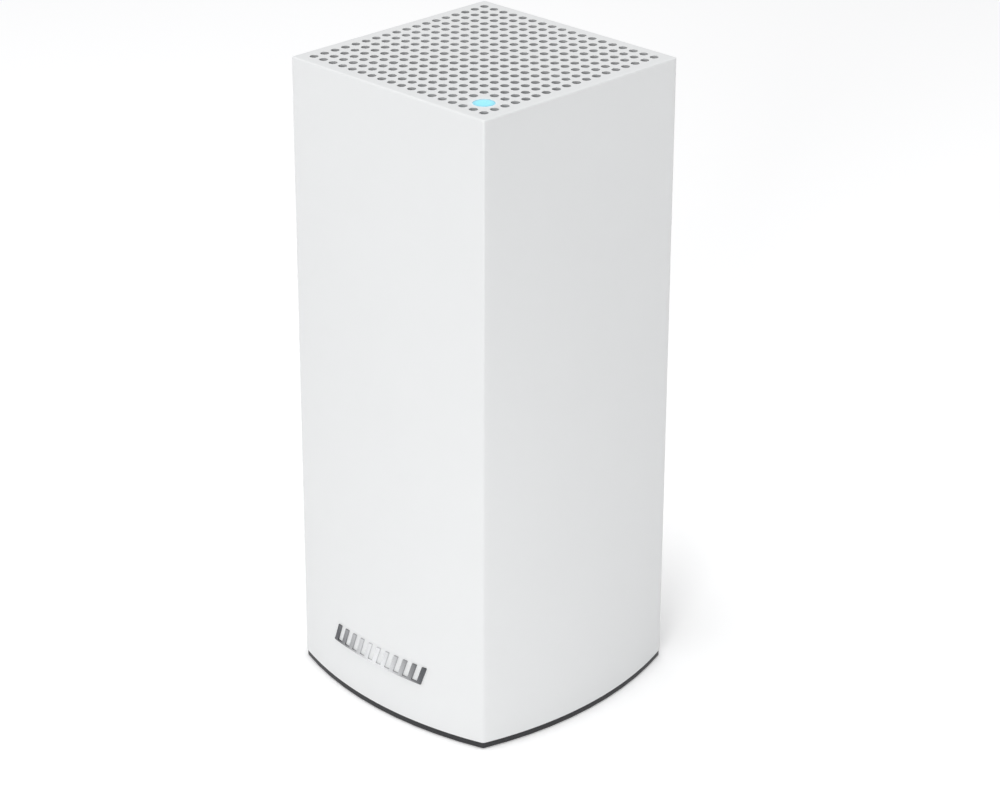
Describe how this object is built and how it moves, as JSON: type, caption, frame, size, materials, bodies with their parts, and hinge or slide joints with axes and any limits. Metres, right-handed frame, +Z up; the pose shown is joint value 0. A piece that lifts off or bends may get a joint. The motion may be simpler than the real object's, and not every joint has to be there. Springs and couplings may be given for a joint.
{
  "type": "wireless router",
  "caption": "Free-standing tower Wi-Fi router: white housing, square above and bowed at the foot, perforated top with status light, black base, rear socket bay, inner boards and heat sinks",
  "frame": {"origin": "on the floor plane, under the middle of the body", "axes": "+Z up; the emblem is on the -Y side, the socket bay is in the +Y side, the status light is in the top corner between +X and -Y"},
  "size_m": [0.1142, 0.1142, 0.2438],
  "materials": {
    "white_plastic": "fine satin white plastic",
    "black_plastic": "matt black plastic",
    "rubber": "matt black rubber",
    "steel": "plated steel",
    "aluminium": "extruded aluminium",
    "board": "green solder mask",
    "chip": "black moulded resin",
    "thermal_pad": "grey silicone pad",
    "emblem": "chrome plate",
    "lens": "glowing light blue lens",
    "clear": "clear moulded plastic",
    "led": "light-emitting chip",
    "frame_plastic": "light grey plastic",
    "ribbon": "flat flexible cable"
  },
  "bodies": {
    "router_body": {"antenna_1": "board", "antenna_2": "board", "antenna_3": "board", "antenna_4": "board", "antenna_5": "board", "antenna_6": "board", "antenna_lead_1": "chip", "antenna_lead_2": "chip", "antenna_lead_3": "chip", "antenna_lead_4": "chip", "antenna_lead_5": "chip", "antenna_lead_6": "chip", "base_plate": "black_plastic", "base_screw_1": "steel", "base_screw_2": "steel", "base_screw_3": "steel", "base_screw_4": "steel", "board_link_header": "chip", "chassis_frame": "frame_plastic", "dc_jack": "black_plastic", "emblem": "emblem", "flash_chip": "chip", "front_heat_sink": "aluminium", "heat_sink_screw_1": "steel", "heat_sink_screw_2": "steel", "heat_sink_screw_3": "steel", "heat_sink_screw_4": "steel", "io_board": "board", "lan_jack_1": "steel", "lan_jack_2": "steel", "lan_jack_3": "steel", "lan_jack_4": "steel", "light_board": "board", "light_guide": "clear", "light_lens": "lens", "main_board": "board", "memory_chip": "chip", "outer_housing": "white_plastic", "port_bay": "black_plastic", "power_board": "board", "power_switch_housing": "black_plastic", "processor": "chip", "processor_thermal_pad": "thermal_pad", "radio_thermal_pad_lower": "thermal_pad", "radio_thermal_pad_upper": "thermal_pad", "rear_heat_sink": "aluminium", "reset_switch": "chip", "ribbon_cable": "ribbon", "rubber_foot": "rubber", "shield_can_lower": "steel", "shield_can_upper": "steel", "status_led": "led", "top_grille": "white_plastic", "usb_port": "steel", "wan_jack": "steel", "wps_switch": "chip"},
    "power_rocker": {"power_rocker": "black_plastic"},
    "wps_button": {"wps_button": "black_plastic"},
    "reset_button": {"reset_button": "black_plastic"}
  },
  "joints": [
    {"name": "power_rocker_hinge", "type": "hinge", "parent": "router_body", "child": "power_rocker", "pos_m": [-0.03, 0.0365, 0.037], "axis": [1, 0, 0], "range_deg": [0, 20]},
    {"name": "wps_button_slide", "type": "slide", "parent": "router_body", "child": "wps_button", "axis": [0, -1, 0], "range_m": [0, 0.001], "stiffness_N_per_m": 400, "springref_m": -0.001},
    {"name": "reset_button_slide", "type": "slide", "parent": "router_body", "child": "reset_button", "axis": [0, 0, 1], "range_m": [0, 0.0012], "stiffness_N_per_m": 400, "springref_m": -0.001}
  ]
}
